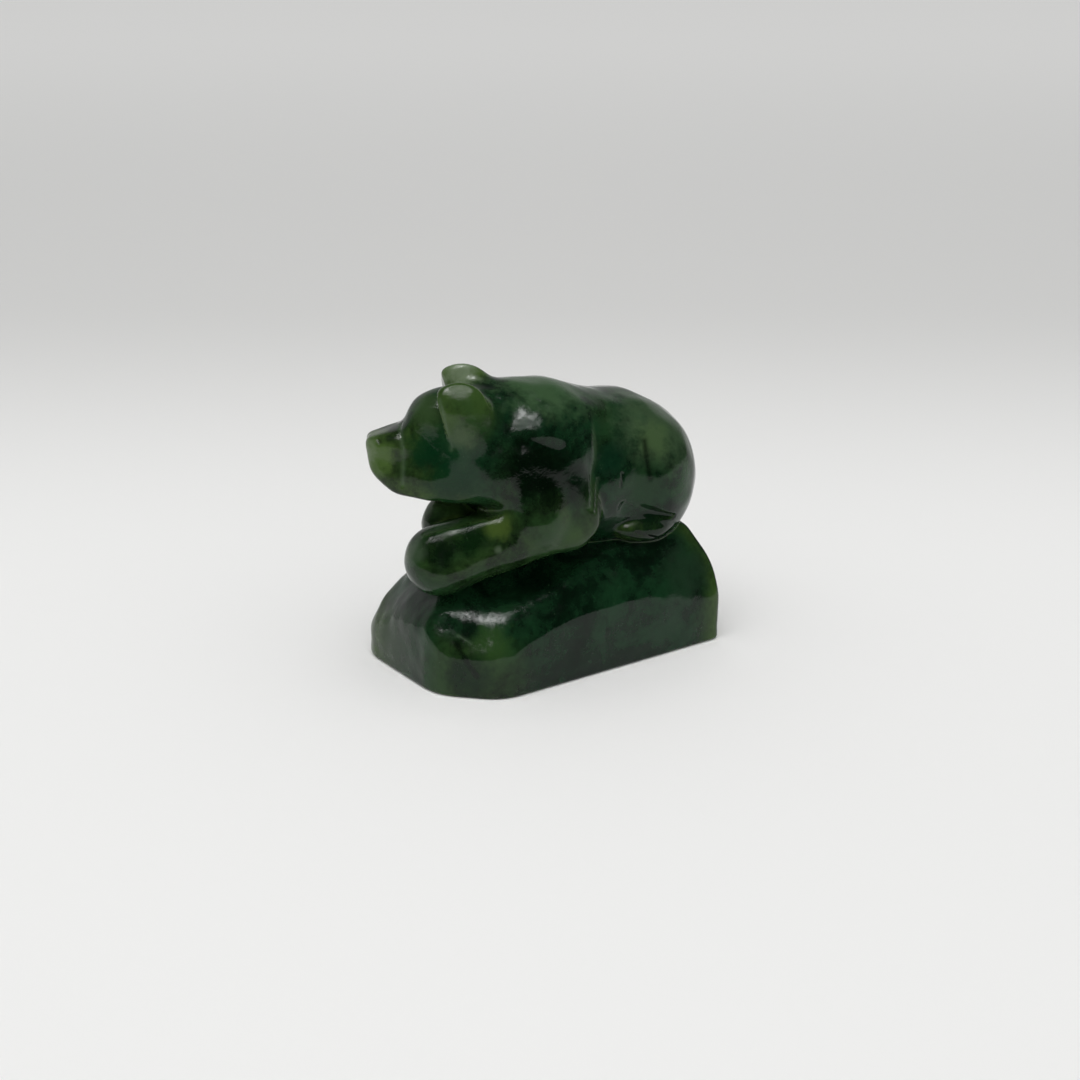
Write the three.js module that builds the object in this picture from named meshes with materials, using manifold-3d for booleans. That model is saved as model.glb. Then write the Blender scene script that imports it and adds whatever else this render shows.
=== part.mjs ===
import * as THREE from 'three';
import { mergeVertices } from 'three/addons/utils/BufferGeometryUtils.js';
import Module from 'manifold-3d';

// A pocket-size jade carving: a bear lying over a faceted rock, both cut from one block of nephrite.
// Millimetres, +Z up, origin at the centre of the underside. The bear lies along X and faces -X. It turns
// its head to its own right, towards +Y, so its left flank is the -Y side.
// The block is described as a signed distance: negative in the stone, positive outside it.

// Driving dimensions of the rock, in mm
const rockLength = 53.6;
const rockWidth = 31.6;
const nearWall = 11.7;
const farWall = 12.6;
const frontWall = 10.2;
const rearWall = 13.3;
const rockSeat = 20.8;

// Driving dimensions of the bear, in mm: its length from nose to rump, and how far it lies forward of the
// rock's middle
const bearLength = 54;
const bearForward = 0.35;

// How far apart the vertices of the faceted surface are, in mm
const facetSize = 1.55;

const axes = [0, 1, 2];
const degrees = THREE.MathUtils.degToRad;
const { clamp } = THREE.MathUtils;
const { min, max, abs, sqrt, hypot, sign } = Math;

// Soft union, intersection and cut of distances. The blend is as wide as k.
const joined = (a, b, k) => min(a, b) - max(k - abs(a - b), 0) ** 2 / (4 * k);
const kept = (a, b, k) => -joined(-a, -b, k);
const carved = (a, tool, k) => -joined(-a, tool, k);

// A flat cut by compass direction and lean, both in degrees. A lean of 0 is a wall and 90 is level.
function facet(compass, lean, [x, y, z]) {
  const level = Math.cos(degrees(lean));
  const nx = level * Math.cos(degrees(compass));
  const ny = level * Math.sin(degrees(compass));
  const nz = Math.sin(degrees(lean));
  return (p) => (p[0] - x) * nx + (p[1] - y) * ny + (p[2] - z) * nz;
}

// A flat cut through a point, square to a direction.
function plane(direction, [x, y, z]) {
  const [nx, ny, nz] = new THREE.Vector3(...direction).normalize().toArray();
  return (p) => (p[0] - x) * nx + (p[1] - y) * ny + (p[2] - z) * nz;
}

// An ellipsoid, turned by yaw about Z, then pitch about Y, then roll about X, in degrees.
function egg([x, y, z], [rx, ry, rz], turn = [0, 0, 0]) {
  const [yaw, pitch, roll] = turn.map(degrees);
  const m = new THREE.Matrix4().makeRotationFromEuler(new THREE.Euler(roll, pitch, yaw, 'ZYX')).elements;
  return (p) => {
    const dx = p[0] - x, dy = p[1] - y, dz = p[2] - z;
    const u = (dx * m[0] + dy * m[1] + dz * m[2]) / rx;
    const v = (dx * m[4] + dy * m[5] + dz * m[6]) / ry;
    const w = (dx * m[8] + dy * m[9] + dz * m[10]) / rz;
    const reach = hypot(u, v, w);
    return (reach * (reach - 1)) / max(hypot(u / rx, v / ry, w / rz), 1e-9);
  };
}

// A round cone between two balls: from a, of radius ra, to b, of radius rb.
function limb([ax, ay, az], [bx, by, bz], ra, rb) {
  const ex = bx - ax, ey = by - ay, ez = bz - az;
  const length2 = ex * ex + ey * ey + ez * ez;
  const taper = ra - rb;
  const side2 = length2 - taper * taper;
  return (p) => {
    const dx = p[0] - ax, dy = p[1] - ay, dz = p[2] - az;
    const along = dx * ex + dy * ey + dz * ez;
    const past = along - length2;
    const off2 = (dx * length2 - ex * along) ** 2 + (dy * length2 - ey * along) ** 2
      + (dz * length2 - ez * along) ** 2;
    const edge = sign(taper) * taper * taper * off2;
    if (sign(past) * side2 * past * past * length2 > edge) {
      return sqrt(off2 + past * past * length2) / length2 - rb;
    }
    if (sign(along) * side2 * along * along * length2 < edge) {
      return sqrt(off2 + along * along * length2) / length2 - ra;
    }
    return (sqrt((off2 * side2) / length2) + along * taper) / length2 - ra;
  };
}

// The rock: four walls with cut corners under a ring of slopes, a sloped shelf where the bear lies, a steep
// notch and a ledge at the corner below its near paw, and a core that comes up under its arms. Every face is
// a cut with the softness of the edge that it leaves.
function rock() {
  const front = -rockLength / 2;
  const rear = rockLength / 2;
  const near = -rockWidth / 2;
  const far = rockWidth / 2;
  const slope = 40;
  const walls = [
    [facet(-90, 0, [0, near, 0]), 0],
    [facet(90, 0, [0, far, 0]), 0.8],
    [facet(180, 2, [front, 0, 0]), 0.8],
    [facet(0, 0, [rear, 0, 0]), 0.8],
    [facet(-136, 0, [front + 9, near - 1, 0]), 2.6],
    [facet(135, 0, [front, far - 1.9, 0]), 2.5],
    [facet(-45, 0, [rear, near + 0.6, 0]), 1],
    [facet(45, 0, [rear - 1.3, far - 1.5, 0]), 2],
  ];
  const slopes = [
    [facet(-90, slope, [0, near, nearWall]), 0.7],
    [facet(-84, slope / 2, [rear - 6.2, near, nearWall - 3.1]), 0.8],
    [facet(-99, slope - 2, [front + 18.9, near, nearWall - 0.7]), 1],
    [facet(-110, 24.6, [front + 12.95, near, nearWall - 2.4]), 0.6],
    [facet(180, slope, [front, 0, frontWall]), 1.2],
    [facet(159, slope, [front, 5.2, frontWall - 1.5]), 1.6],
    [facet(90, slope, [0, far, farWall]), 0.8],
    [facet(75, slope, [rear - 6.4, far, farWall - 1.8]), 2],
    [facet(105, slope, [front + 10.4, far, farWall - 0.6]), 2],
    [facet(0, 23, [rear, near, rearWall]), 1],
  ];
  const shelf = facet(180, 74, [0, 0, rockSeat]);
  const seat = facet(0, 90, [0, 0, rockSeat]);
  const notch = facet(-137, 35, [front + 9, near - 1, nearWall - 4.2]);
  const ledge = facet(-126, 70, [front + 9.4, near + 7.2, nearWall + 2.4]);
  const core = limb([front + 11.5, 1.4, rockSeat - 8.3], [2, 0, rockSeat - 7.3], 5.5, 8);
  const underside = plane([0, 0, -1], [0, 0, -1.5 * facetSize]);
  return (p) => {
    let stone = walls[0][0](p);
    for (const [face, softness] of [...walls.slice(1), ...slopes]) stone = kept(stone, face(p), softness);
    stone = kept(stone, kept(shelf(p), seat(p), 2.5), 2);
    stone = kept(stone, kept(notch(p), ledge(p), 1.4), 0.8);
    return max(joined(stone, core(p), 3), underside(p));
  };
}

// The bear. Every length below is a share of bearLength, and heights count from the seat on the rock.
function bear() {
  const both = [-1, 1];
  const rump = egg([0.241, 0, 0.16], [0.25, 0.225, 0.263]);
  const shoulders = egg([-0.019, 0, 0.285], [0.194, 0.193, 0.215]);
  const belly = egg([0.083, 0, 0.152], [0.167, 0.215, 0.185]);
  const neck = egg([-0.148, 0.019, 0.3], [0.176, 0.163, 0.21]);
  const throat = limb([-0.25, -0.01, 0.32], [-0.235, -0.082, 0.25], 0.12, 0.085);
  const haunches = both.map((s) => egg([0.331, s * 0.1, 0.142], [0.162, 0.144, 0.203]));
  const chest = both.map((s) => limb([-0.139, s * 0.085, 0.281], [-0.14, s * 0.165, 0.115], 0.115, 0.092));
  const feet = both.map((s) => egg([0.262, s * 0.172, 0.014], [0.115, 0.066, 0.046], [0, 6, 0]));
  const grooves = both.map((s) => limb([0.165, s * 0.24, 0.1], [0.34, s * 0.232, 0.046], 0.034, 0.006));

  // Shoulder, elbow, wrist and paw, each with its radius, then the height of the flat along the forearm.
  // The near arm lies over the far one.
  const shoulder = [[-0.078, 0.063, 0.304], 0.152];
  const elbow = [[-0.036, 0.177, 0.108], 0.102];
  const nearHand = [[[-0.233, 0.117, 0.062], 0.097], [[-0.4, 0.04, 0.003], 0.108]];
  const farHand = [[[-0.204, 0.137, 0.078], 0.093], [[-0.29, 0.083, 0.067], 0.084]];
  const nearArm = arm(-1, [shoulder, elbow, ...nearHand], 0.124);
  const farArm = arm(1, [shoulder, elbow, ...farHand], 0.148);

  const skull = head();
  return (p) => {
    let body = joined(rump(p), shoulders(p), 0.14);
    body = joined(body, belly(p), 0.056);
    // A haunch has a crisp edge in front and runs into the rump behind.
    const softness = 0.02 + 0.07 * clamp((p[0] - 0.17) / 0.15, 0, 1);
    for (const haunch of haunches) body = joined(body, haunch(p), softness);
    for (const side of chest) body = joined(body, side(p), 0.037);
    body = joined(body, neck(p), 0.056);
    body = joined(body, throat(p), 0.05);
    body = joined(body, nearArm(p), 0.028);
    body = joined(body, farArm(p), 0.028);
    body = skull(p, body);
    for (const foot of feet) body = joined(body, foot(p), 0.011);
    for (const groove of grooves) body = carved(body, groove(p), 0.012);
    return body;
  };
}

// An arm on one side, through its joints in order. The forearm has a flat along its top and one along its
// outer side, and a third flat makes the upper arm's outer side upright.
function arm(side, joints, flatHeight) {
  const at = joints.map(([[x, y, z], radius]) => [[x, side * y, z], radius]);
  const [upper, ...lower] = at.slice(1).map(([end, radius], i) => limb(at[i][0], end, at[i][1], radius));
  const top = facet(side * -155, 77.5, [-0.3, 0, flatHeight]);
  const outer = facet(side * 122, 24, [-0.359, side * 0.144, 0.079]);
  const upright = facet(side * 97, 6, [0, side * 0.265, 0]);
  return (p) => {
    let forearm = lower.map((bone) => bone(p)).reduce((a, b) => joined(a, b, 0.028));
    forearm = kept(forearm, top(p), 0.008);
    forearm = kept(forearm, outer(p), 0.02);
    return kept(joined(upper(p), forearm, 0.028), upright(p), 0.03);
  };
}

// The head, in its own frame: forward along the muzzle, then to its left, then up, from its centre.
function head() {
  const centre = [-0.291, 0.037, 0.35];
  const yaw = degrees(144.8);
  const both = [-1, 1];
  const skull = egg([-0.013, 0, -0.004], [0.167, 0.108, 0.163]);
  const brow = egg([0.044, 0, 0.035], [0.104, 0.1, 0.111]);
  const jowls = egg([0.005, 0, -0.078], [0.162, 0.145, 0.19]);
  const muzzle = [
    [plane([0.36, 0, 1], [0.161, 0, 0.043]), 0.022],
    [plane([0.9, 0, -0.44], [0.263, 0, -0.067]), 0.028],
    [plane([0.34, 0, -1], [0.161, 0, -0.161]), 0.056],
    ...both.map((s) => [plane([0.26, s, 0.12], [0.222, s * 0.067, 0]), 0.03]),
    ...both.map((s) => [plane([0.2, s * 0.7, 0.7], [0.161, s * 0.057, 0.039]), 0.022]),
    [plane([-1, 0, 0], [0.056, 0, 0]), 0.019],
  ];
  const nose = plane([1, 0, -0.05], [0.267, 0, -0.03]);
  const jaw = plane([0.05, 0, -1], [0.037, 0, -0.17]);
  const eyes = both.map((s) => egg([0.1, s * 0.15, 0.02], [0.07, 0.048, 0.09]));
  const ears = both.map(ear);

  return (p, body) => {
    const [dx, dy, dz] = axes.map((axis) => p[axis] - centre[axis]);
    const q = [dx * Math.cos(yaw) + dy * Math.sin(yaw), dy * Math.cos(yaw) - dx * Math.sin(yaw), dz];
    let face = joined(skull(q), brow(q), 0.028);
    face = joined(face, jowls(q), 0.037);
    let snout = nose(q);
    for (const [side, softness] of muzzle) snout = kept(snout, side(q), softness);
    face = kept(joined(face, snout, 0.022), jaw(q), 0.022);
    for (const eye of eyes) face = carved(face, eye(q), 0.06);
    // An ear stands up crisply at its front edge and runs softly into the neck behind.
    const softness = 0.006 + 0.05 * clamp((0.01 - q[0]) / 0.05, 0, 1);
    return joined(joined(body, face, 0.037), min(...ears.map((one) => one(q))), softness);
  };
}

// An ear on one side, in the head's frame: a bulge with a flat front and a bevelled outer rim. The right
// ear stands a little higher and further forward than the left one.
function ear(side) {
  const [ahead, higher] = side < 0 ? [0.008, 0.016] : [0, 0];
  const bulge = egg([ahead - 0.016, side * 0.089, higher + 0.096], [0.084, 0.045, 0.116], [0, -5, 0]);
  const front = plane([1, side * -0.25, -0.3], [0.037, side * 0.1, higher + 0.12]);
  const rim = plane([0, side * 0.68, 0.73], [0, side * 0.117, higher + 0.158]);
  return (q) => kept(kept(bulge(q), front(q), 0.012), rim(q), 0.03);
}

// The whole carving, as one distance in mm.
function carving() {
  const stone = rock();
  const animal = bear();
  const seam = 0.6;
  return (p) => {
    const share = [p[0] + bearForward, p[1], p[2] - rockSeat].map((length) => length / bearLength);
    return joined(stone(p), animal(share) * bearLength, seam);
  };
}

// Direction in which a distance grows fastest, as a unit vector.
function slopeOf(distance, p) {
  const step = facetSize / 50;
  const slope = axes.map((axis) => {
    const ahead = [...p], behind = [...p];
    ahead[axis] += step;
    behind[axis] -= step;
    return distance(ahead) - distance(behind);
  });
  const steepness = max(hypot(...slope), 1e-9);
  return slope.map((s) => s / steepness);
}

// The point of a cell that lies closest to the planes through its surface crossings, so that a crisp edge
// of the rock runs through the vertices and not beside them.
function settle(distance, crossings, low, high) {
  const planes = crossings.map((c) => ({ at: c, normal: slopeOf(distance, c) }));
  const p = axes.map((axis) => crossings.reduce((sum, c) => sum + c[axis], 0) / crossings.length);
  for (let round = 0; round < 30; round += 1) {
    const push = [0, 0, 0];
    for (const { at, normal } of planes) {
      const gap = (p[0] - at[0]) * normal[0] + (p[1] - at[1]) * normal[1] + (p[2] - at[2]) * normal[2];
      normal.forEach((n, axis) => { push[axis] -= gap * n; });
    }
    for (const axis of axes) {
      p[axis] = clamp(p[axis] + push[axis] / planes.length, low[axis], high[axis]);
    }
  }
  return p;
}

// The corners of a cell as steps along x, y and z, its edges as two corners and an axis, and its faces as
// rings of corners.
const corners = Array.from({ length: 8 }, (_, n) => [n & 1, (n >> 1) & 1, n >> 2]);
const edges = corners.flatMap((corner, n) => axes.filter((axis) => corner[axis] === 0)
  .map((axis) => ({ from: n, to: n | (1 << axis), axis })));
const faces = axes.flatMap((axis) => [0, 1].map((side) => {
  const [u, v] = [1 << ((axis + 1) % 3), 1 << ((axis + 2) % 3)];
  return [0, u, u | v, v].map((n) => n | (side << axis));
}));

// Groups the edges of a cell that the surface crosses into the separate sheets that run through the cell,
// so that two surfaces in one cell stay apart.
function sheets(inside) {
  const crossed = edges.filter(({ from, to }) => inside[from] !== inside[to]);
  const group = new Map(crossed.map((edge) => [edge, edge]));
  const between = (a, b) => crossed.find((e) => (e.from === a && e.to === b) || (e.from === b && e.to === a));
  const unite = (a, b) => {
    const [first, second] = [group.get(a), group.get(b)];
    for (const [edge, of] of group) if (of === first) group.set(edge, second);
  };
  for (const ring of faces) {
    const sides = ring.map((corner, n) => between(corner, ring[(n + 1) % 4])).filter((side) => side);
    if (sides.length > 0) unite(...sides);
  }
  return [...new Set(group.values())].map((root) => crossed.filter((edge) => group.get(edge) === root));
}

// Where stone meets stone only across the diagonal of a square of the grid, the crevice beside it is
// narrower than a facet. Its corner nearest to the stone is filled, until no such square is left.
function fillCrevices(values, [nx, ny, nz], cell) {
  const strides = [1, nx, nx * ny];
  const filled = -cell / 50;
  let found = true;
  while (found) {
    found = false;
    for (const axis of axes) {
      const [u, v] = [strides[(axis + 1) % 3], strides[(axis + 2) % 3]];
      for (let at = 0; at < nx * ny * nz - u - v; at += 1) {
        const [inside, besideU, besideV, across] = [at, at + u, at + v, at + u + v].map((n) => values[n] < 0);
        if (inside !== across || inside === besideU || inside === besideV) continue;
        const open = inside ? [at + u, at + v] : [at, at + u + v];
        values[values[open[0]] < values[open[1]] ? open[0] : open[1]] = filled;
        found = true;
      }
    }
  }
}

// A closed triangle mesh round the zero level of a distance, with a vertex for each sheet in each cell.
function skin(distance, lowest, highest, cell) {
  const [nx, ny, nz] = lowest.map((low, axis) => Math.ceil((highest[axis] - low) / cell) + 1);
  const index = (i, j, k) => (k * ny + j) * nx + i;
  const place = (i, j, k) => [lowest[0] + i * cell, lowest[1] + j * cell, lowest[2] + k * cell];
  const values = new Float64Array(nx * ny * nz);
  for (let k = 0; k < nz; k += 1) {
    for (let j = 0; j < ny; j += 1) {
      for (let i = 0; i < nx; i += 1) values[index(i, j, k)] = distance(place(i, j, k));
    }
  }
  fillCrevices(values, [nx, ny, nz], cell);

  // A vertex keeps a little off the sides of its cell, so no two of them meet.
  const inset = 0.08;
  const points = [];
  const vertexOf = new Map();
  const keyOf = (cellIndex, from, axis) => (cellIndex * 8 + from) * 3 + axis;
  const fillCell = (i, j, k) => {
    const at = corners.map(([a, b, c]) => values[index(i + a, j + b, k + c)]);
    const inside = at.map((value) => value < 0);
    if (inside.every((one) => one === inside[0])) return;
    const low = place(i + inset, j + inset, k + inset);
    const high = place(i + 1 - inset, j + 1 - inset, k + 1 - inset);
    for (const sheet of sheets(inside)) {
      const crossings = sheet.map(({ from, to, axis }) => {
        const [a, b, c] = corners[from];
        const crossing = place(i + a, j + b, k + c);
        crossing[axis] += (cell * at[from]) / (at[from] - at[to]);
        return crossing;
      });
      for (const { from, axis } of sheet) vertexOf.set(keyOf(index(i, j, k), from, axis), points.length);
      points.push(settle(distance, crossings, low, high));
    }
  };
  for (let k = 0; k < nz - 1; k += 1) {
    for (let j = 0; j < ny - 1; j += 1) {
      for (let i = 0; i < nx - 1; i += 1) fillCell(i, j, k);
    }
  }

  // Each grid edge that the surface crosses gives one four-sided patch between the cells round it. It is
  // split along the diagonal whose middle is nearer to the surface.
  const triangles = [];
  const middle = (a, b) => abs(distance(points[a].map((c, axis) => (c + points[b][axis]) / 2)));
  const patch = (spot, axis, outward) => {
    const [u, v] = [(axis + 1) % 3, (axis + 2) % 3];
    const ring = [[1, 1], [0, 1], [0, 0], [1, 0]].map(([du, dv]) => {
      const around = [...spot];
      around[u] -= du;
      around[v] -= dv;
      return vertexOf.get(keyOf(index(...around), (du << u) | (dv << v), axis));
    });
    const [a, b, c, d] = outward ? ring : ring.reverse();
    if (middle(a, c) <= middle(b, d)) triangles.push(a, b, c, a, c, d);
    else triangles.push(b, c, d, b, d, a);
  };
  for (let k = 1; k < nz - 1; k += 1) {
    for (let j = 1; j < ny - 1; j += 1) {
      for (let i = 1; i < nx - 1; i += 1) {
        const here = values[index(i, j, k)] < 0;
        const next = [index(i + 1, j, k), index(i, j + 1, k), index(i, j, k + 1)];
        for (const axis of axes) if (here !== values[next[axis]] < 0) patch([i, j, k], axis, here);
      }
    }
  }
  return { points, triangles };
}

const wasm = await Module();
wasm.setup();

function solidFrom(vertProperties, triVerts) {
  return new wasm.Manifold(new wasm.Mesh({ numProp: 3, vertProperties, triVerts }));
}

// A three.js box as a solid that can cut.
function boxSolid(width, depth, height, x, y, z) {
  let box = new THREE.BoxGeometry(width, depth, height).translate(x, y, z);
  box.deleteAttribute('normal');
  box.deleteAttribute('uv');
  box = mergeVertices(box);
  return solidFrom(new Float32Array(box.attributes.position.array), new Uint32Array(box.index.array));
}

// The rough carving runs a little below the ground plane, and one flat cut makes its underside. The cut lies
// between two layers of cells, so it passes beside their vertices.
function carve() {
  const room = 2 * facetSize;
  const cellsBelow = 3;
  const half = [max(rockLength / 2, 0.55 * bearLength) + room, max(rockWidth / 2, 0.3 * bearLength) + room];
  const top = rockSeat + 0.6 * bearLength;
  const lowest = [-half[0], -half[1], -cellsBelow * facetSize];
  const { points, triangles } = skin(carving(), lowest, [half[0], half[1], top], facetSize);
  const rough = solidFrom(new Float32Array(points.flat()), new Uint32Array(triangles));
  const groundDepth = 10;
  const ground = boxSolid(4 * half[0], 4 * half[1], groundDepth, 0, 0, -groundDepth / 2);
  const { vertProperties, triVerts } = rough.subtract(ground).getMesh();
  const geometry = new THREE.BufferGeometry();
  geometry.setAttribute('position', new THREE.BufferAttribute(new Float32Array(vertProperties), 3));
  geometry.setIndex(new THREE.BufferAttribute(new Uint32Array(triVerts), 1));
  geometry.computeVertexNormals();
  return geometry;
}

const jade = new THREE.MeshStandardMaterial({ color: 0x24502c, roughness: 0.16, metalness: 0 });

const bearOnRock = new THREE.Mesh(carve(), jade);
bearOnRock.name = 'bear_on_rock';

const carvingGroup = new THREE.Group();
carvingGroup.add(bearOnRock);

export default carvingGroup;
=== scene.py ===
"""Dresses a pocket-size nephrite carving: a bear lying over a faceted rock, cut from one block.

The finished surface is the same carving as the CAD solid, described as a signed distance and
meshed about four times finer, with the wheel-cut lines, the dents and the polish that the solid
leaves out. Lengths in the sculpting classes are millimetres, or shares of the bear's own length
where a docstring says so. The mesh that Blender gets is in metres, in the frame of the CAD.
"""

import logging
import math
from dataclasses import dataclass, field, replace
from enum import Enum
from typing import Callable, Sequence

import bpy
import numpy as np
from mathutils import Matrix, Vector


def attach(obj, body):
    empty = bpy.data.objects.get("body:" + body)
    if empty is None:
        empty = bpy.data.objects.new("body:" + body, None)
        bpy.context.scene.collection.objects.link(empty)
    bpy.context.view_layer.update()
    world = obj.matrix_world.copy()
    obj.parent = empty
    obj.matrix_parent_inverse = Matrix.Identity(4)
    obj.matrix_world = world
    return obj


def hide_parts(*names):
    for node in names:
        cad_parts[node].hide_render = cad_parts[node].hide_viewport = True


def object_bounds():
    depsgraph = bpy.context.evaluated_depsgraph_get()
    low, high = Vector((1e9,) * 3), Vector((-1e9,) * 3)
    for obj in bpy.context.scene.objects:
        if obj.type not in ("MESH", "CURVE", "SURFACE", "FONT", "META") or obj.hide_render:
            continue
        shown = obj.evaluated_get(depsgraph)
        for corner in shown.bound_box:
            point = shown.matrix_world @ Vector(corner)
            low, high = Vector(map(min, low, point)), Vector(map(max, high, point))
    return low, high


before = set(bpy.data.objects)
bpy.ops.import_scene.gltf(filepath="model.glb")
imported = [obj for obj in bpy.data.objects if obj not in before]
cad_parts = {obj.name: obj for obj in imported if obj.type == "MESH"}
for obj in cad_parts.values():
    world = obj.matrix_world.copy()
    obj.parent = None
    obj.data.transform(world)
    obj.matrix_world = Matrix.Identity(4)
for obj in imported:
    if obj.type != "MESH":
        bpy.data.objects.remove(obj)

LOG = logging.getLogger("jade_bear")
NODE = "bear_on_rock"
MM = 0.001
TINY = 1e-9
CAD_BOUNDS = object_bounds()

Triple = tuple[float, float, float]
Distance = Callable[[np.ndarray], np.ndarray]
SIDES = (-1, 1)


def joined(a: np.ndarray, b: np.ndarray, k: float | np.ndarray) -> np.ndarray:
    """Unites two distances with a soft seam.

    Args:
        a: First distance.
        b: Second distance.
        k: Width of the blend, in the distances' unit.

    Returns:
        The distance of the union.
    """
    return np.minimum(a, b) - np.maximum(k - np.abs(a - b), 0) ** 2 / (4 * k)


def kept(a: np.ndarray, b: np.ndarray, k: float) -> np.ndarray:
    """Keeps only what is inside both, with a soft edge as wide as k."""
    return -joined(-a, -b, k)


def carved(a: np.ndarray, tool: np.ndarray, k: float) -> np.ndarray:
    """Cuts a tool out of a, with a soft edge as wide as k."""
    return -joined(-a, tool, k)


def smooth_step(low: float, high: float, x: np.ndarray) -> np.ndarray:
    """Rises smoothly from 0 at low to 1 at high."""
    t = np.clip((x - low) / (high - low), 0, 1)
    return t * t * (3 - 2 * t)


def turning(axis: int, degrees: float) -> np.ndarray:
    """Makes the matrix of a turn about one axis.

    Args:
        axis: 0, 1 or 2 for X, Y or Z.
        degrees: Angle of the turn.

    Returns:
        The 3 by 3 matrix.
    """
    angle = math.radians(degrees)
    u, v = (axis + 1) % 3, (axis + 2) % 3
    matrix = np.eye(3)
    matrix[[u, v], [u, v]] = math.cos(angle)
    matrix[u, v], matrix[v, u] = -math.sin(angle), math.sin(angle)
    return matrix


def sided(point: Triple, side: int) -> Triple:
    """Puts a point of the far side on one side: -1 is the near side, 1 the far one."""
    x, y, z = point
    return (x, side * y, z)


@dataclass(frozen=True)
class Facet:
    """A flat cut by compass direction and lean, in degrees. A lean of 0 is a wall, 90 is level."""

    compass: float
    lean: float
    through: Triple
    softness: float = 0.8

    def __call__(self, p: np.ndarray) -> np.ndarray:
        """Measures how far points are in front of the cut.

        Args:
            p: The points.

        Returns:
            Their distances, below 0 behind the cut.
        """
        compass, lean = math.radians(self.compass), math.radians(self.lean)
        level = math.cos(lean)
        normal = (level * math.cos(compass), level * math.sin(compass), math.sin(lean))
        return (p - self.through) @ np.array(normal)


@dataclass(frozen=True)
class Plane:
    """A flat cut through a point, square to a direction."""

    direction: Triple
    through: Triple
    softness: float = 0.02

    def __call__(self, p: np.ndarray) -> np.ndarray:
        """Distance of points in front of the cut."""
        normal = np.array(self.direction, float)
        return (p - self.through) @ (normal / np.linalg.norm(normal))


@dataclass(frozen=True)
class Egg:
    """An ellipsoid, turned by yaw about Z, then pitch about Y, then roll about X, in degrees."""

    centre: Triple
    radii: Triple
    turn: Triple = (0, 0, 0)

    def __call__(self, p: np.ndarray) -> np.ndarray:
        """Measures how far points are from the ellipsoid.

        Args:
            p: The points.

        Returns:
            Their distances, exact at the surface.
        """
        turned = turning(2, self.turn[0]) @ turning(1, self.turn[1]) @ turning(0, self.turn[2])
        local = ((p - self.centre) @ turned) / self.radii
        reach = np.linalg.norm(local, axis=-1)
        steep = np.linalg.norm(local / self.radii, axis=-1)
        return reach * (reach - 1) / np.maximum(steep, TINY)

    def beside(self, side: int) -> "Egg":
        """The same ellipsoid on one side."""
        return replace(self, centre=sided(self.centre, side))


@dataclass(frozen=True)
class Limb:
    """A round cone between two balls."""

    start: Triple
    end: Triple
    start_radius: float
    end_radius: float

    def __call__(self, p: np.ndarray) -> np.ndarray:
        """Measures how far points are from the round cone.

        Args:
            p: The points.

        Returns:
            Their distances.
        """
        start, span = np.array(self.start), np.array(self.end) - self.start
        length2 = float(span @ span)
        taper = self.start_radius - self.end_radius
        side2 = length2 - taper * taper
        offset = p - start
        along = offset @ span
        past = along - length2
        off2 = ((offset * length2 - along[..., None] * span) ** 2).sum(-1)
        edge = np.sign(taper) * taper * taper * off2
        cone = (np.sqrt(off2 * side2 / length2) + along * taper) / length2 - self.start_radius
        low = np.sqrt(off2 + along**2 * length2) / length2 - self.start_radius
        high = np.sqrt(off2 + past**2 * length2) / length2 - self.end_radius
        out = np.where(np.sign(along) * side2 * along**2 * length2 < edge, low, cone)
        return np.where(np.sign(past) * side2 * past**2 * length2 > edge, high, out)

    def beside(self, side: int) -> "Limb":
        """The same cone on one side."""
        return replace(self, start=sided(self.start, side), end=sided(self.end, side))


class Mark(Enum):
    """What a stroke leaves in the stone: a pale dusty line, a dark one, or only its shape."""

    PALE = "pale"
    DARK = "dark"
    PLAIN = "plain"


@dataclass(frozen=True)
class Stroke:
    """A line that the wheel cut, through points in mm, with the width and depth of its groove."""

    points: Sequence[Triple]
    width: float
    depth: float
    mark: Mark = Mark.PALE

    def nearness(self, p: np.ndarray) -> np.ndarray:
        """Says how near points are to the line.

        Args:
            p: The points, in mm.

        Returns:
            1 on the line, falling to 0 about two widths away.
        """
        near = np.full(p.shape[:-1], np.inf)
        for start, end in zip(self.points[:-1], self.points[1:]):
            span = np.array(end) - start
            offset = p - start
            t = np.clip((offset @ span) / float(span @ span), 0, 1)
            near = np.minimum(near, ((offset - t[..., None] * span) ** 2).sum(-1))
        return np.exp(-near / self.width**2)


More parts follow.
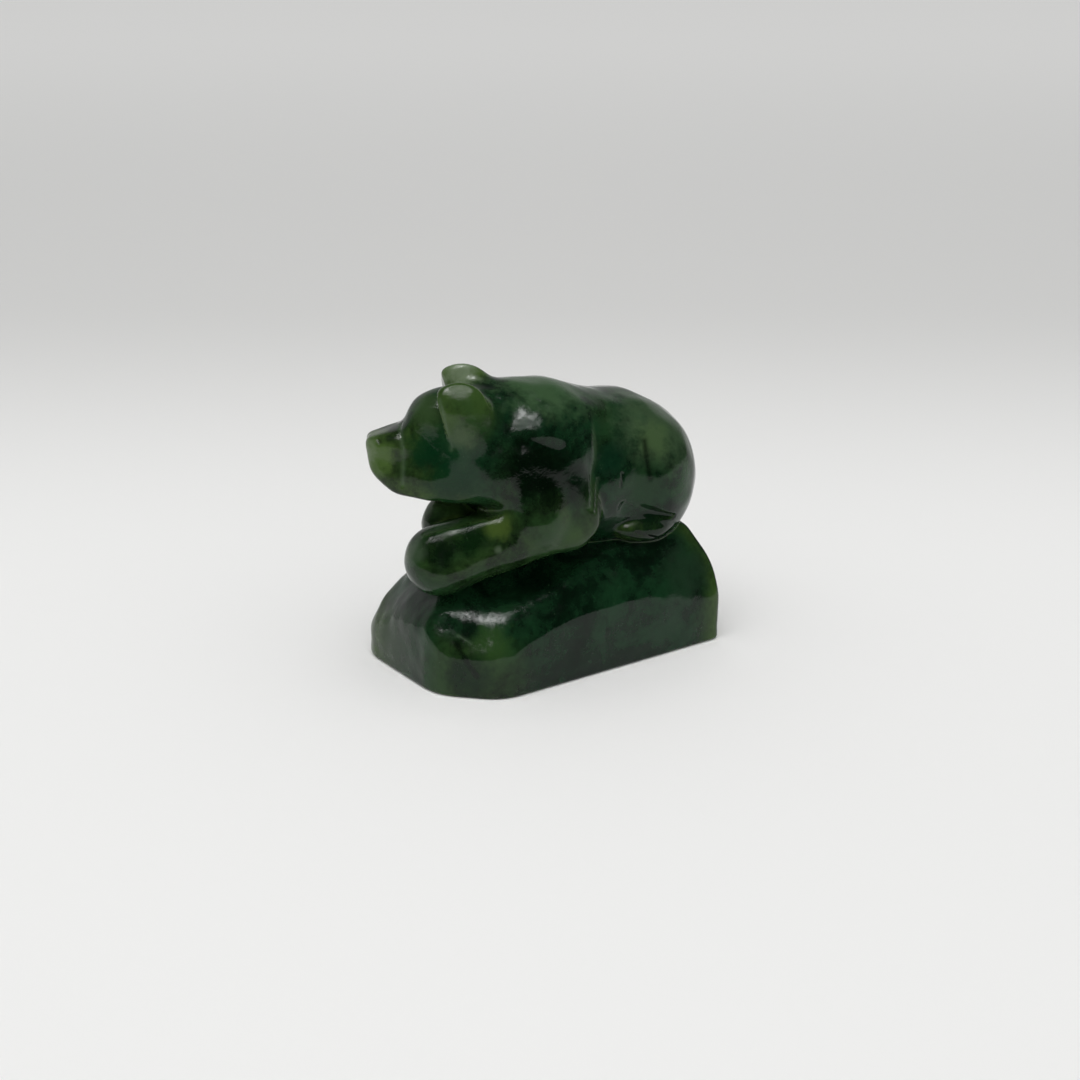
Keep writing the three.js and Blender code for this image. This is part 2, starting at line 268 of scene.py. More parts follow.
@dataclass
class Rock:
    """The rock, in mm: walls with cut corners under a ring of slopes, and a shelf for the bear."""

    length: float = 53.6
    width: float = 31.6
    near_wall: float = 11.7
    far_wall: float = 12.6
    front_wall: float = 10.2
    rear_wall: float = 13.3
    seat: float = 20.8
    slope: float = 40.0
    shelf_softness: float = 2.5
    brink_softness: float = 2.0
    ledge_softness: float = 1.4
    notch_softness: float = 0.8
    core_radii: tuple[float, float] = (5.5, 8.0)
    core_seam: float = 3.0
    foot_softness: float = 0.6

    def walls(self) -> list[Facet]:
        """Lists the upright faces and the cut corners of the rock.

        Returns:
            Four faces, then four corners.
        """
        front, rear = -self.length / 2, self.length / 2
        near, far = -self.width / 2, self.width / 2
        return [
            Facet(-90, 0, (0, near, 0)),
            Facet(90, 0, (0, far, 0)),
            Facet(180, 2, (front, 0, 0)),
            Facet(0, 0, (rear, 0, 0)),
            Facet(-136, 0, (front + 9, near - 1.0, 0), 2.6),
            Facet(135, 0, (front, far - 1.9, 0), 2.5),
            Facet(-45, 0, (rear, near + 0.6, 0), 1),
            Facet(45, 0, (rear - 1.3, far - 1.5, 0), 2),
        ]

    def slopes(self) -> list[Facet]:
        """Lists the ring of slopes over the walls.

        Returns:
            Four slopes on the near side, two at the front, three on the far side and one at the rear.
        """
        front, rear = -self.length / 2, self.length / 2
        near, far = -self.width / 2, self.width / 2
        return [
            Facet(-90, self.slope, (0, near, self.near_wall), 0.7),
            Facet(-84, 20, (rear - 6.2, near, self.near_wall - 3.1), 0.8),
            Facet(-99, 38, (front + 18.9, near, self.near_wall - 0.7), 1.0),
            Facet(-110, 24.6, (front + 12.95, near, self.near_wall - 2.4), 0.6),
            Facet(180, self.slope, (front, 0, self.front_wall), 1.2),
            Facet(159, self.slope, (front, 5.2, self.front_wall - 1.5), 1.6),
            Facet(90, self.slope, (0, far, self.far_wall), 0.8),
            Facet(75, self.slope, (rear - 6.4, far, self.far_wall - 1.8), 2),
            Facet(105, self.slope, (front + 10.4, far, self.far_wall - 0.6), 2),
            Facet(0, 23, (rear, near, self.rear_wall), 1),
        ]

    def __call__(self, p: np.ndarray) -> np.ndarray:
        """Measures how far points are from the rock.

        Args:
            p: The points, in mm.

        Returns:
            Their distances, in mm. A core under the bear fills the gap to its belly.
        """
        front, near = -self.length / 2, -self.width / 2
        stone = None
        for face in [*self.walls(), *self.slopes()]:
            stone = face(p) if stone is None else kept(stone, face(p), face.softness)
        brink, level = Facet(180, 74, (0, 0, self.seat)), Facet(0, 90, (0, 0, self.seat))
        stone = kept(stone, kept(brink(p), level(p), self.shelf_softness), self.brink_softness)
        notch = Facet(-137, 35, (front + 9, near - 1.0, self.near_wall - 4.2))
        ledge = Facet(-126, 70, (front + 9.4, near + 7.2, self.near_wall + 2.4))
        stone = kept(stone, kept(notch(p), ledge(p), self.ledge_softness), self.notch_softness)
        core = Limb((front + 11.5, 1.4, self.seat - 8.3), (2, 0, self.seat - 7.3), *self.core_radii)
        stone = joined(stone, core(p), self.core_seam)
        return kept(stone, -p[..., 2], self.foot_softness)


@dataclass
class Head:
    """The bear's head, in shares of its length: forward, left and up from the head's centre."""

    centre: Triple = (-0.291, 0.037, 0.35)
    yaw: float = 144.8
    skull: Egg = Egg((-0.013, 0, -0.004), (0.167, 0.108, 0.163))
    brow: Egg = Egg((0.044, 0, 0.035), (0.104, 0.1, 0.111))
    jowls: Egg = Egg((0.005, 0, -0.078), (0.162, 0.145, 0.19))
    nose: Plane = Plane((1, 0, -0.05), (0.267, 0, -0.03))
    jaw: Plane = Plane((0.05, 0, -1), (0.037, 0, -0.17))
    eye: Egg = Egg((0.1, 0.15, 0.02), (0.07, 0.048, 0.09))
    brow_seam: float = 0.028
    jowls_seam: float = 0.037
    snout_seam: float = 0.022
    jaw_softness: float = 0.022
    eye_softness: float = 0.06
    neck_seam: float = 0.037
    ear_seams: tuple[float, float] = (0.006, 0.05)
    ear_shifts: tuple[float, float] = (0.002, 0.016)
    ear_radii: Triple = (0.084, 0.045, 0.116)
    ear_softness: float = 0.012
    rim_softness: float = 0.03

    def muzzle(self) -> list[Plane]:
        """Lists the flats that the blocky muzzle is cut by.

        Returns:
            The flats of the bridge, the tip and the chin, of both sides, and the one against the skull.
        """
        flats = [
            Plane((0.36, 0, 1), (0.161, 0, 0.043), 0.022),
            Plane((0.9, 0, -0.44), (0.263, 0, -0.067), 0.028),
            Plane((0.34, 0, -1), (0.161, 0, -0.161), 0.056),
        ]
        flats += [Plane((0.26, side, 0.12), (0.222, side * 0.067, 0), 0.03) for side in SIDES]
        for side in SIDES:
            flats.append(Plane((0.2, side * 0.7, 0.7), (0.161, side * 0.057, 0.039), 0.022))
        return [*flats, Plane((-1, 0, 0), (0.056, 0, 0), 0.019)]

    def local(self, p: np.ndarray) -> np.ndarray:
        """Turns points of the bear's frame into the head's own.

        Args:
            p: Points in the bear's frame.

        Returns:
            The same points, forward, left and up from the head's centre.
        """
        turn = math.radians(self.yaw)
        forward = (math.cos(turn), math.sin(turn), 0)
        left = (-math.sin(turn), math.cos(turn), 0)
        return (p - self.centre) @ np.array([forward, left, (0, 0, 1)]).T

    def __call__(self, p: np.ndarray, body: np.ndarray) -> np.ndarray:
        """Joins the head to the body.

        Args:
            p: Points in the bear's frame.
            body: Their distance from the body.

        Returns:
            Their distance from the body with its head.
        """
        q = self.local(p)
        face = joined(self.skull(q), self.brow(q), self.brow_seam)
        face = joined(face, self.jowls(q), self.jowls_seam)
        snout = self.nose(q)
        for flat in self.muzzle():
            snout = kept(snout, flat(q), flat.softness)
        face = kept(joined(face, snout, self.snout_seam), self.jaw(q), self.jaw_softness)
        for side in SIDES:
            face = carved(face, self.eye.beside(side)(q), self.eye_softness)
        crisp, wide = self.ear_seams
        seam = crisp + wide * np.clip((0.01 - q[..., 0]) / 0.05, 0, 1)
        ears = np.minimum(*(self.ear(q, side) for side in SIDES))
        return joined(joined(body, face, self.neck_seam), ears, seam)

    def ear(self, q: np.ndarray, side: int) -> np.ndarray:
        """Measures how far points are from one ear, a bulge with its front sliced off flat.

        Args:
            q: Points in the head's frame.
            side: 1 for the left ear, -1 for the right one, which stands a little ahead and higher.

        Returns:
            Their distances.
        """
        ahead, higher = self.ear_shifts if side < 0 else (0, 0)
        bulge = Egg((ahead - 0.016, side * 0.089, higher + 0.096), self.ear_radii, (0, -5, 0))
        front = Plane((1, side * -0.25, -0.3), (0.037, side * 0.1, higher + 0.12))
        rim = Plane((0, side * 0.68, 0.73), (0, side * 0.117, higher + 0.158))
        return kept(kept(bulge(q), front(q), self.ear_softness), rim(q), self.rim_softness)


@dataclass
class Bear:
    """The bear, in shares of its length, from the seat on the rock."""

    head: Head = field(default_factory=Head)
    rump: Egg = Egg((0.241, 0, 0.16), (0.25, 0.225, 0.263))
    shoulders: Egg = Egg((-0.019, 0, 0.285), (0.194, 0.193, 0.215))
    belly: Egg = Egg((0.083, 0, 0.152), (0.167, 0.215, 0.185))
    neck: Egg = Egg((-0.148, 0.019, 0.3), (0.176, 0.163, 0.21))
    shoulder: tuple[Triple, float] = ((-0.078, 0.063, 0.304), 0.152)
    elbow: tuple[Triple, float] = ((-0.036, 0.177, 0.108), 0.102)
    near_wrist: tuple[Triple, float] = ((-0.233, 0.117, 0.062), 0.097)
    near_paw: tuple[Triple, float] = ((-0.4, 0.04, 0.003), 0.108)
    far_wrist: tuple[Triple, float] = ((-0.204, 0.137, 0.078), 0.093)
    far_paw: tuple[Triple, float] = ((-0.29, 0.083, 0.067), 0.084)
    flat_compass: float = 155.0
    flat_lean: float = 77.5
    flat_heights: tuple[float, float] = (0.124, 0.148)
    haunch: Egg = Egg((0.331, 0.1, 0.142), (0.162, 0.144, 0.203))
    chest: Limb = Limb((-0.139, 0.085, 0.281), (-0.14, 0.165, 0.115), 0.115, 0.092)
    throat: Limb = Limb((-0.25, -0.01, 0.32), (-0.235, -0.082, 0.25), 0.12, 0.085)
    foot: Egg = Egg((0.262, 0.172, 0.014), (0.115, 0.066, 0.046), (0, 6, 0))
    hollow: Limb = Limb((0.165, 0.24, 0.1), (0.34, 0.232, 0.046), 0.034, 0.006)
    back_seam: float = 0.14
    belly_seam: float = 0.056
    haunch_seams: tuple[float, float] = (0.02, 0.07)
    chest_seam: float = 0.037
    neck_seam: float = 0.056
    throat_seam: float = 0.05
    arm_seam: float = 0.028
    flat_softness: float = 0.008
    outer_softness: float = 0.02
    flank_softness: float = 0.03
    foot_seam: float = 0.011
    hollow_softness: float = 0.012

    def arm(self, p: np.ndarray, side: int) -> np.ndarray:
        """Measures how far points are from one arm.

        Args:
            p: Points in shares of the bear's length.
            side: -1 for the near arm, 1 for the far one.

        Returns:
            Their distances. A flat is cut along the top of the forearm.
        """
        ends = (self.near_wrist, self.near_paw) if side < 0 else (self.far_wrist, self.far_paw)
        joints = [(sided(at, side), r) for at, r in (self.shoulder, self.elbow, *ends)]
        bones = [Limb(start, end, r, s)(p) for (start, r), (end, s) in zip(joints[:-1], joints[1:])]
        flat = Facet(side * -self.flat_compass, self.flat_lean, (-0.3, 0, self.flat_heights[side > 0]))
        outer = Facet(side * 122, 24, (-0.359, side * 0.144, 0.079))
        forearm = kept(joined(bones[1], bones[2], self.arm_seam), flat(p), self.flat_softness)
        forearm = kept(forearm, outer(p), self.outer_softness)
        flank = Facet(side * 97, 6, (0, side * 0.265, 0))
        return kept(joined(bones[0], forearm, self.arm_seam), flank(p), self.flank_softness)

    def __call__(self, p: np.ndarray) -> np.ndarray:
        """Measures how far points are from the bear.

        Args:
            p: Points in shares of its length.

        Returns:
            Their distances, in shares of its length.
        """
        body = joined(self.rump(p), self.shoulders(p), self.back_seam)
        body = joined(body, self.belly(p), self.belly_seam)
        crisp, wide = self.haunch_seams
        seam = crisp + wide * np.clip((p[..., 0] - 0.17) / 0.15, 0, 1)
        for side in SIDES:
            body = joined(body, self.haunch.beside(side)(p), seam)
        for side in SIDES:
            body = joined(body, self.chest.beside(side)(p), self.chest_seam)
        body = joined(body, self.neck(p), self.neck_seam)
        body = joined(body, self.throat(p), self.throat_seam)
        for side in SIDES:
            body = joined(body, self.arm(p, side), self.arm_seam)
        body = self.head(p, body)
        for side in SIDES:
            body = joined(body, self.foot.beside(side)(p), self.foot_seam)
            body = carved(body, self.hollow.beside(side)(p), self.hollow_softness)
        return body


@dataclass
class Carving:
    """The whole carving, bear and rock, in mm."""

    rock: Rock = field(default_factory=Rock)
    bear: Bear = field(default_factory=Bear)
    bear_length: float = 54.0
    bear_at: float = -0.35
    seam: float = 0.6

    def share(self, p: np.ndarray) -> np.ndarray:
        """Points in shares of the bear's length, from its seat."""
        return (p - (self.bear_at, 0, self.rock.seat)) / self.bear_length

    def __call__(self, p: np.ndarray) -> np.ndarray:
        """Distance of points from the carving."""
        return joined(self.rock(p), self.bear(self.share(p)) * self.bear_length, self.seam)


@dataclass
class Handwork:
    """The carving, in mm, with the wheel's strokes on it and faces that are not quite flat."""

    carving: Carving = field(default_factory=Carving)
    wave_height: float = 0.028
    wave_lengths: tuple[float, ...] = (3.1, 4.3, 5.9, 7.7)
    wave_headings: int = 3
    wave_seed: int = 7
    calm_foot: tuple[float, float] = (0.5, 3.0)
    strokes: Sequence[Stroke] = (
        Stroke(((-23.8, 6.0, 42.3), (-25.1, 3.8, 40.9), (-25.3, 2.9, 38.2), (-25.7, 2.6, 35.3),
                (-25.9, 2.4, 33.2)), 0.34, 0.12),
        Stroke(((-21.2, -1.6, 47.9), (-21.2, -2.7, 45.6), (-20.8, -3.1, 42.9), (-20.4, -3.6, 39.8)),
               0.3, 0.14),
        Stroke(((-23.9, 3.0, 42.2), (-22.8, 1.0, 41.0), (-22.1, -0.1, 39.9), (-21.7, -1.2, 39.1)),
               0.4, 0.04, Mark.PLAIN),
        Stroke(((-10.2, -9.4, 40.6), (-7.6, -10.7, 39.9), (-4.4, -11.4, 38.6)), 1.3, 0.75, Mark.PLAIN),
        Stroke(((4.1, -7.4, 42.3), (3.1, -10.1, 38.6), (2.7, -10.9, 35.7), (1.2, -12.1, 32.3),
                (0.2, -13.4, 28.6)), 0.36, 0.16),
        Stroke(((2.9, -11.7, 32.6), (1.9, -12.4, 30.3), (0.9, -13.4, 27.6)), 0.26, 0.12),
        Stroke(((7.9, -11.7, 32.5), (7.3, -12.0, 30.5)), 0.3, 0.16, Mark.DARK),
        Stroke(((13.1, -10.7, 37.0), (12.8, -11.9, 34.1), (12.9, -12.7, 31.0)), 0.5, 0.05, Mark.DARK),
        Stroke(((10.6, -12.3, 21.8), (12.1, -12.6, 21.2), (14.2, -12.4, 20.3)), 0.34, 0.2, Mark.DARK),
        Stroke(((-22.9, -8.6, 10.2), (-22.3, -9.6, 9.7), (-21.7, -10.9, 9.2)), 0.22, 0.02),
        Stroke(((-23.5, -9.0, 9.1), (-23.0, -11.2, 6.8), (-21.9, -12.6, 4.1)), 0.5, 0.02, Mark.DARK),
        Stroke(((-27.85, 6.5, 40.2), (-27.7, 6.2, 39.9)), 0.3, 0.14, Mark.DARK),
    )

    def waves(self, p: np.ndarray) -> np.ndarray:
        """Makes a gentle unevenness from waves that run in seeded directions.

        Args:
            p: The points, in mm.

        Returns:
            How much lower the surface is at each point, in mm.
        """
        draws = np.random.default_rng(self.wave_seed)
        total = np.zeros(p.shape[:-1])
        for length in self.wave_lengths:
            for _ in range(self.wave_headings):
                heading = draws.normal(size=3)
                heading *= 2 * math.pi / length / np.linalg.norm(heading)
                wave = np.sin(p @ heading + draws.uniform(0, 2 * math.pi))
                total += wave * length / self.wave_lengths[-1]
        return total * self.wave_height

    def __call__(self, p: np.ndarray) -> np.ndarray:
        """Measures how far points are from the finished surface.

        Args:
            p: The points, in mm.

        Returns:
            Their distances, in mm. The foot of the rock stays flat, so that it stands.
        """
        out = self.carving(p) + self.waves(p) * smooth_step(*self.calm_foot, p[..., 2])
        for stroke in self.strokes:
            out = out + stroke.depth * stroke.nearness(p)
        return out

    def marks(self, p: np.ndarray, mark: Mark) -> np.ndarray:
        """Says how strongly points lie on strokes of one kind.

        Args:
            p: The points, in mm.
            mark: The kind of stroke.

        Returns:
            0 away from the strokes, 1 on them.
        """
        total = np.zeros(p.shape[:-1])
        for stroke in self.strokes:
            if stroke.mark is mark:
                total = np.maximum(total, stroke.nearness(p))
        return total


@dataclass
class Skin:
    """Meshes the zero level of a distance with one vertex in each cell that it crosses."""

    cell: float
    coarse: int = 4
    close_steps: float = 1.8
    chunk: int = 200_000

    def sample(self, distance: Distance, low: np.ndarray, shape: tuple[int, int, int]) -> np.ndarray:
        """Samples a distance on a grid, only near the surface; the rest keeps the coarse sign.

        Args:
            distance: The distance to sample.
            low: Lowest corner of the grid.
            shape: Count of grid points along each axis.

        Returns:
            The distance at each grid point.
        """
        step = self.coarse
        rough_shape = tuple(-(-n // step) + 1 for n in shape)
        rough_index = np.stack(np.meshgrid(*map(np.arange, rough_shape), indexing="ij"), -1)
        rough = distance(low + rough_index * (self.cell * step))
        values = np.repeat(np.repeat(np.repeat(rough, step, 0), step, 1), step, 2)
        values = np.sign(values[: shape[0], : shape[1], : shape[2]]) * self.cell * step
        close = np.abs(rough) < self.cell * step * self.close_steps
        near = np.repeat(np.repeat(np.repeat(close, step, 0), step, 1), step, 2)
        near = near[: shape[0], : shape[1], : shape[2]]
        index = np.argwhere(near)
        found = np.empty(len(index))
        for start in range(0, len(index), self.chunk):
            part = slice(start, start + self.chunk)
            found[part] = distance(low + index[part] * self.cell)
        values[near] = found
        return values

    def mesh(self, distance: Distance, low: Triple, high: Triple) -> tuple[np.ndarray, np.ndarray]:
        """Meshes a distance.

        Args:
            distance: The distance whose zero level is the surface.
            low: Lowest corner of the space it lies in.
            high: Highest corner of that space.

        Returns:
            The vertices, and the four-sided faces with their fronts outward.
        """
        corner = np.array(low, float)
        shape = tuple(int(n) + 1 for n in np.ceil((np.array(high) - corner) / self.cell))
        values = self.sample(distance, corner, shape)
        inside = values < 0
        cells = tuple(n - 1 for n in shape)
        total = np.zeros((*cells, 3))
        count = np.zeros(cells)
        for axis in range(3):
            u, v = (axis + 1) % 3, (axis + 2) % 3
            for du in (0, 1):
                for dv in (0, 1):
                    first = [slice(0, -1)] * 3
                    first[u], first[v] = (slice(d, d + cells[a]) for d, a in ((du, u), (dv, v)))
                    second = list(first)
                    second[axis] = slice(1, None)
                    a, b = values[tuple(first)], values[tuple(second)]
                    crossed = (a < 0) != (b < 0)
                    t = np.where(crossed, a / np.where(crossed, a - b, 1), 0)
                    total[..., axis] += t
                    total[..., u] += crossed * du
                    total[..., v] += crossed * dv
                    count += crossed
        filled = np.argwhere(count > 0)
        ids = np.full(cells, -1)
        ids[tuple(filled.T)] = np.arange(len(filled))
        share = total[tuple(filled.T)] / count[tuple(filled.T)][:, None]
        points = corner + (filled + share) * self.cell
        faces = [self.own_and_painted_clouds(inside, ids, axis) for axis in range(3)]
        return points, np.concatenate(faces)

    @staticmethod
    def own_and_painted_clouds(inside: np.ndarray, ids: np.ndarray, axis: int) -> np.ndarray:
        """Lays a face round each grid edge along one axis that the surface crosses.

        Args:
            inside: Whether each grid point is in the stone.
            ids: The number of the vertex in each cell, or -1.
            axis: The axis that the edges run along.

        Returns:
            The four-sided faces, by the numbers of their vertices.
        """
        u, v = (axis + 1) % 3, (axis + 2) % 3
        start = [slice(1, -1)] * 3
        start[axis] = slice(0, -1)
        end = list(start)
        end[axis] = slice(1, None)
        here, there = inside[tuple(start)], inside[tuple(end)]
        spot = np.argwhere(here != there)
        spot[:, [u, v]] += 1
        ring = []
        for du, dv in ((1, 1), (0, 1), (0, 0), (1, 0)):
            around = spot.copy()
            around[:, u] -= du
            around[:, v] -= dv
            ring.append(ids[tuple(around.T)])
        quads = np.stack(ring, 1)
        outward = inside[tuple(spot.T)]
        return np.where(outward[:, None], quads, quads[:, ::-1])


def slope_of(distance: Distance, p: np.ndarray, step: float = 0.02) -> np.ndarray:
    """Finds the gradient of a distance.

    Args:
        distance: The distance.
        p: Where to find it.
        step: How far to each side the distance is taken.

    Returns:
        The gradient at each point.
    """
    out = np.empty_like(p)
    for axis in range(3):
        shift = np.zeros(3)
        shift[axis] = step
        out[:, axis] = (distance(p + shift) - distance(p - shift)) / (2 * step)
    return out


def settled(distance: Distance, p: np.ndarray, rounds: int, most: float) -> np.ndarray:
    """Moves points onto the zero level of a distance.

    Args:
        distance: The distance.
        p: The points.
        rounds: How often each point moves.
        most: The longest move of a round.

    Returns:
        The moved points.
    """
    flattest = 1e-6
    for _ in range(rounds):
        slope = slope_of(distance, p)
        step = distance(p) / np.maximum((slope**2).sum(-1), flattest)
        move = -step[:, None] * slope
        length = np.linalg.norm(move, axis=1, keepdims=True)
        p = p + move * np.minimum(1, most / np.maximum(length, TINY))
    return p


class Finish(Enum):
    """The finishes in the scene."""

    JADE = "jade"
    PAPER = "paper"


class Nodes:
    """Lays out the nodes of one tree."""

    def __init__(self, tree: bpy.types.NodeTree) -> None:
        """Keeps the tree that the nodes go into."""
        self.tree = tree

    def add(self, kind: str, values: dict | None = None, **settings: object) -> bpy.types.Node:
        """Adds a node.

        Args:
            kind: Blender's name of the node's type.
            values: Plain values, or sockets to link from, by the input's name or number.
            settings: Values of the node's own properties.

        Returns:
            The node.
        """
        node = self.tree.nodes.new(kind)
        for name, value in settings.items():
            setattr(node, name, value)
        for key, value in (values or {}).items():
            if isinstance(value, bpy.types.NodeSocket):
                self.tree.links.new(value, node.inputs[key])
            else:
                node.inputs[key].default_value = value
        return node

    def group(self, tree: bpy.types.NodeTree, values: dict) -> bpy.types.Node:
        """Adds a node group, with values or sockets for its inputs by name."""
        return self.add("ShaderNodeGroup", values, node_tree=tree)

    def noise(self, at: bpy.types.NodeSocket, scale: float, **more: float) -> bpy.types.NodeSocket:
        """Cloudy noise with a given number of lumps in a unit. More inputs go by their names."""
        values = {"Vector": at, "Scale": scale} | {key.title(): value for key, value in more.items()}
        return self.add("ShaderNodeTexNoise", values).outputs[0]

    def ramp(
        self, value: bpy.types.NodeSocket, low: float, high: float, most: float = 1.0
    ) -> bpy.types.NodeSocket:
        """Maps a value to a mask that goes from 0 at low to most at high."""
        values = {"Value": value, 1: low, 2: high, 3: 0.0, 4: most}
        return self.add("ShaderNodeMapRange", values, interpolation_type="SMOOTHSTEP").outputs[0]

    def dot(self, at: bpy.types.NodeSocket, direction: Triple) -> bpy.types.NodeSocket:
        """Measures a vector along a direction."""
        node = self.add("ShaderNodeVectorMath", {0: at, 1: direction}, operation="DOT_PRODUCT")
        return node.outputs["Value"]

    def blend(self, mask: bpy.types.NodeSocket, first: object, second: object) -> bpy.types.NodeSocket:
        """Mixes two colours by a mask."""
        return self.add("ShaderNodeMix", {0: mask, 6: first, 7: second}, data_type="RGBA").outputs[2]

    def maths(self, operation: str, *values: object) -> bpy.types.NodeSocket:
        """Does one sum on values."""
        return self.add("ShaderNodeMath", dict(enumerate(values)), operation=operation).outputs[0]


VECTOR, VALUE, COLOUR = "NodeSocketVector", "NodeSocketFloat", "NodeSocketColor"


class ShaderGroup:
    """A node group under construction, with its inputs and outputs at hand."""

    def __init__(self, name: str, inputs: dict[str, str], outputs: dict[str, str]) -> None:
        """Makes the group.

        Args:
            name: The group's name.
            inputs: The socket type of each input, by name.
            outputs: The socket type of each output, by name.
        """
        self.tree = bpy.data.node_groups.new(name, "ShaderNodeTree")
        for direction, sockets in (("INPUT", inputs), ("OUTPUT", outputs)):
            for label, kind in sockets.items():
                self.tree.interface.new_socket(label, in_out=direction, socket_type=kind)
        self.nodes = Nodes(self.tree)
        self.inputs = self.nodes.add("NodeGroupInput").outputs
        self.out = self.nodes.add("NodeGroupOutput")

    def done(self, **results: bpy.types.NodeSocket) -> bpy.types.NodeTree:
        """Finishes the group.

        Args:
            results: What goes to each output, by the output's name.

        Returns:
            The finished group.
        """
        for label, socket in results.items():
            self.tree.links.new(socket, self.out.inputs[label])
        return self.tree


def stone_figure() -> bpy.types.NodeTree:
    """Makes the stone's colour: drifting dark and green clouds, with a painted glow where it is thin,
    standing in for light shining through.

    Returns:
        The group.
    """
    group = ShaderGroup(
        "stone_figure",
        {"At": VECTOR, "Thin": VALUE, "Deep": COLOUR, "Green": COLOUR, "Painted Thin Glow": COLOUR},
        {"Colour": COLOUR},
    )
    nodes, given = group.nodes, group.inputs
    broad = nodes.noise(given["At"], 0.085, detail=7.0, roughness=0.62, distortion=0.8)
    fine = nodes.noise(given["At"], 0.55, detail=5.0, roughness=0.7, distortion=0.3)
    both = nodes.maths("MULTIPLY_ADD", fine, 0.35, nodes.maths("MULTIPLY", broad, 0.8))
    body = nodes.blend(nodes.ramp(both, 0.46, 0.72), given["Deep"], given["Green"])
    # Painted glow: paler, yellower green where the stone is thin, standing in for light shining through it.
    glow = nodes.maths("MULTIPLY", nodes.ramp(given["Thin"], 0.12, 0.85), nodes.ramp(both, 0.36, 0.68))
    return group.done(Colour=nodes.blend(glow, body, given["Painted Thin Glow"]))


def stone_cloud() -> bpy.types.NodeTree:
    """Makes a ragged cloud round a centre, as a mask.

    Returns:
        The group.
    """
    inputs = {"At": VECTOR, "Centre": VECTOR, "Reach": VALUE, "Strength": VALUE}
    group = ShaderGroup("stone_cloud", inputs, {"Mask": VALUE})
    nodes, given = group.nodes, group.inputs
    away = nodes.add("ShaderNodeVectorMath", {0: given["At"], 1: given["Centre"]}, operation="DISTANCE")
    share = nodes.maths("DIVIDE", away.outputs["Value"], given["Reach"])
    ragged = nodes.noise(given["At"], 0.45, detail=5.0, roughness=0.65)
    share = nodes.maths("ADD", share, nodes.maths("MULTIPLY_ADD", ragged, -1.6, 0.8))
    inside = nodes.maths("SUBTRACT", 1.0, nodes.ramp(share, 0.3, 1.25))
    return group.done(Mask=nodes.maths("MULTIPLY", inside, given["Strength"]))


def stone_flecks() -> bpy.types.NodeTree:
    """Makes small pale and dark flecks and wisps, as two masks.

    Returns:
        The group.
    """
    group = ShaderGroup("stone_flecks", {"At": VECTOR}, {"Pale": VALUE, "Dark": VALUE})
    nodes, at = group.nodes, group.inputs["At"]
    speck = nodes.noise(at, 2.3, detail=2.0, roughness=0.6)
    wisp = nodes.noise(at, 0.7, detail=6.0, roughness=0.75, distortion=1.6)
    where = nodes.ramp(nodes.noise(at, 0.16, detail=2.0), 0.45, 0.65)
    pale = nodes.maths("MULTIPLY", nodes.ramp(speck, 0.69, 0.8, 0.5), where)
    wisps = nodes.ramp(wisp, 0.6, 0.78, 0.16)
    return group.done(Pale=nodes.maths("MAXIMUM", pale, wisps), Dark=nodes.ramp(wisp, 0.36, 0.24, 0.5))


def polish_marks() -> bpy.types.NodeTree:
    """Makes what hand polishing leaves: dimples and hairlines, as a height in mm and a roughness.

    Returns:
        The group.
    """
    group = ShaderGroup("polish_marks", {"At": VECTOR}, {"Height": VALUE, "Roughness": VALUE})
    nodes, at = group.nodes, group.inputs["At"]
    dimple = nodes.noise(at, 0.9, detail=3.0, roughness=0.6)
    grain = nodes.noise(at, 4.0, detail=2.0)
    stretch = {"Vector": at, "Rotation": (0.4, 0.9, 0.3), "Scale": (6.0, 0.35, 0.5)}
    along = nodes.add("ShaderNodeMapping", stretch)
    hairs = nodes.ramp(nodes.noise(along.outputs[0], 1.0, detail=3.0), 0.6, 0.75)
    height = nodes.maths("MULTIPLY_ADD", grain, 0.006, nodes.maths("MULTIPLY", dimple, 0.04))
    height = nodes.maths("MULTIPLY_ADD", hairs, -0.004, height)
    worn = nodes.ramp(nodes.noise(at, 0.35, detail=4.0, roughness=0.7), 0.45, 0.75, 0.14)
    return group.done(Height=height, Roughness=nodes.maths("MULTIPLY_ADD", hairs, 0.05, worn))


@dataclass(frozen=True)
class Patch:
    """A cloud of another colour on the stone: its centre and reach in mm, its colour and its strength. Some
    are the stone's own mottling, others are painted shade, painted glow, painted highlights and painted
    reflections.
    """

    centre: Triple
    reach: float
    colour: Triple
    strength: float = 0.8


